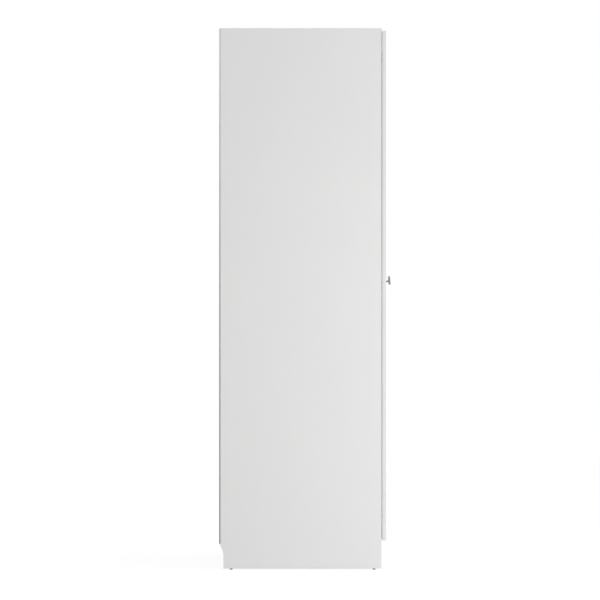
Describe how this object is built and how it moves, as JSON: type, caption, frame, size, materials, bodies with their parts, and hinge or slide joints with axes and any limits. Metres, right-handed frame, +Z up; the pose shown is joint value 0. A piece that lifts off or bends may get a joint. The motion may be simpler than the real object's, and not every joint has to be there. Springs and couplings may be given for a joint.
{
  "type": "wardrobe",
  "caption": "Tall white wardrobe with hinged slab doors on concealed cup hinges, small metal knobs, a hat shelf, a hanging rail and a skirting cut-out.",
  "frame": {"origin": "on the floor, in the middle of the overall box with the doors shut", "axes": "+Z up, doors facing -Y, +X to the right seen from the front"},
  "size_m": [0.8, 0.6442, 2],
  "materials": {
    "white_melamine": "satin white melamine",
    "hardboard": "raw hardboard",
    "white_plastic": "moulded white",
    "dark_plastic": "moulded dark grey",
    "chrome": "polished",
    "satin_nickel": "satin nickel",
    "plated_steel": "bright nickel plate"
  },
  "bodies": {
    "carcass": {"side_panel_left": "white_melamine", "side_panel_right": "white_melamine", "top_panel": "white_melamine", "bottom_panel": "white_melamine", "hat_shelf": "white_melamine", "plinth": "white_melamine", "back_panel_left": "hardboard", "back_panel_right": "hardboard", "back_joining_strip": "white_plastic", "foot_front_left": "dark_plastic", "foot_back_left": "dark_plastic", "foot_front_right": "dark_plastic", "foot_back_right": "dark_plastic", "hanging_rail": "chrome", "rail_socket_left": "white_plastic", "rail_socket_right": "white_plastic", "hinge_plate_left_low": "plated_steel", "hinge_arm_left_low": "plated_steel", "hinge_plate_left_middle": "plated_steel", "hinge_arm_left_middle": "plated_steel", "hinge_plate_left_high": "plated_steel", "hinge_arm_left_high": "plated_steel", "hinge_plate_right_low": "plated_steel", "hinge_arm_right_low": "plated_steel", "hinge_plate_right_middle": "plated_steel", "hinge_arm_right_middle": "plated_steel", "hinge_plate_right_high": "plated_steel", "hinge_arm_right_high": "plated_steel"},
    "door_body_left": {"door_left": "white_melamine", "knob_left": "satin_nickel", "knob_screw_left": "plated_steel", "hinge_cup_left_low": "plated_steel", "hinge_cup_left_middle": "plated_steel", "hinge_cup_left_high": "plated_steel"},
    "outer_links_left": {"hinge_outer_link_left_low": "plated_steel", "hinge_outer_link_left_middle": "plated_steel", "hinge_outer_link_left_high": "plated_steel"},
    "inner_links_left": {"hinge_inner_link_left_low": "plated_steel", "hinge_inner_link_left_middle": "plated_steel", "hinge_inner_link_left_high": "plated_steel"},
    "door_body_right": {"door_right": "white_melamine", "knob_right": "satin_nickel", "knob_screw_right": "plated_steel", "hinge_cup_right_low": "plated_steel", "hinge_cup_right_middle": "plated_steel", "hinge_cup_right_high": "plated_steel"},
    "outer_links_right": {"hinge_outer_link_right_low": "plated_steel", "hinge_outer_link_right_middle": "plated_steel", "hinge_outer_link_right_high": "plated_steel"},
    "inner_links_right": {"hinge_inner_link_right_low": "plated_steel", "hinge_inner_link_right_middle": "plated_steel", "hinge_inner_link_right_high": "plated_steel"}
  },
  "joints": [
    {"name": "outer_link_pivot_left", "type": "hinge", "parent": "carcass", "child": "outer_links_left", "pos_m": [-0.362, -0.26715, 1.049], "axis": [0, 0, 1], "range_deg": [0, 26]},
    {"name": "door_pivot_left", "type": "hinge", "parent": "outer_links_left", "child": "door_body_left", "pos_m": [-0.3887, -0.28375, 1.049], "axis": [0, 0, -1], "range_deg": [0, 120]},
    {"name": "inner_link_pivot_left", "type": "hinge", "parent": "carcass", "child": "inner_links_left", "pos_m": [-0.3733, -0.28805, 1.049], "axis": [0, 0, 1], "range_deg": [0, 43]},
    {"name": "outer_link_pivot_right", "type": "hinge", "parent": "carcass", "child": "outer_links_right", "pos_m": [0.362, -0.26715, 1.049], "axis": [0, 0, -1], "range_deg": [0, 26]},
    {"name": "door_pivot_right", "type": "hinge", "parent": "outer_links_right", "child": "door_body_right", "pos_m": [0.3887, -0.28375, 1.049], "axis": [0, 0, 1], "range_deg": [0, 120]},
    {"name": "inner_link_pivot_right", "type": "hinge", "parent": "carcass", "child": "inner_links_right", "pos_m": [0.3733, -0.28805, 1.049], "axis": [0, 0, -1], "range_deg": [0, 43]}
  ],
  "couplings": [
    {"joint": "outer_link_pivot_left", "follows": "door_pivot_left", "ratio": 0.2126},
    {"joint": "inner_link_pivot_left", "follows": "door_pivot_left", "ratio": 0.35433},
    {"joint": "outer_link_pivot_right", "follows": "door_pivot_right", "ratio": 0.2126},
    {"joint": "inner_link_pivot_right", "follows": "door_pivot_right", "ratio": 0.35433}
  ]
}
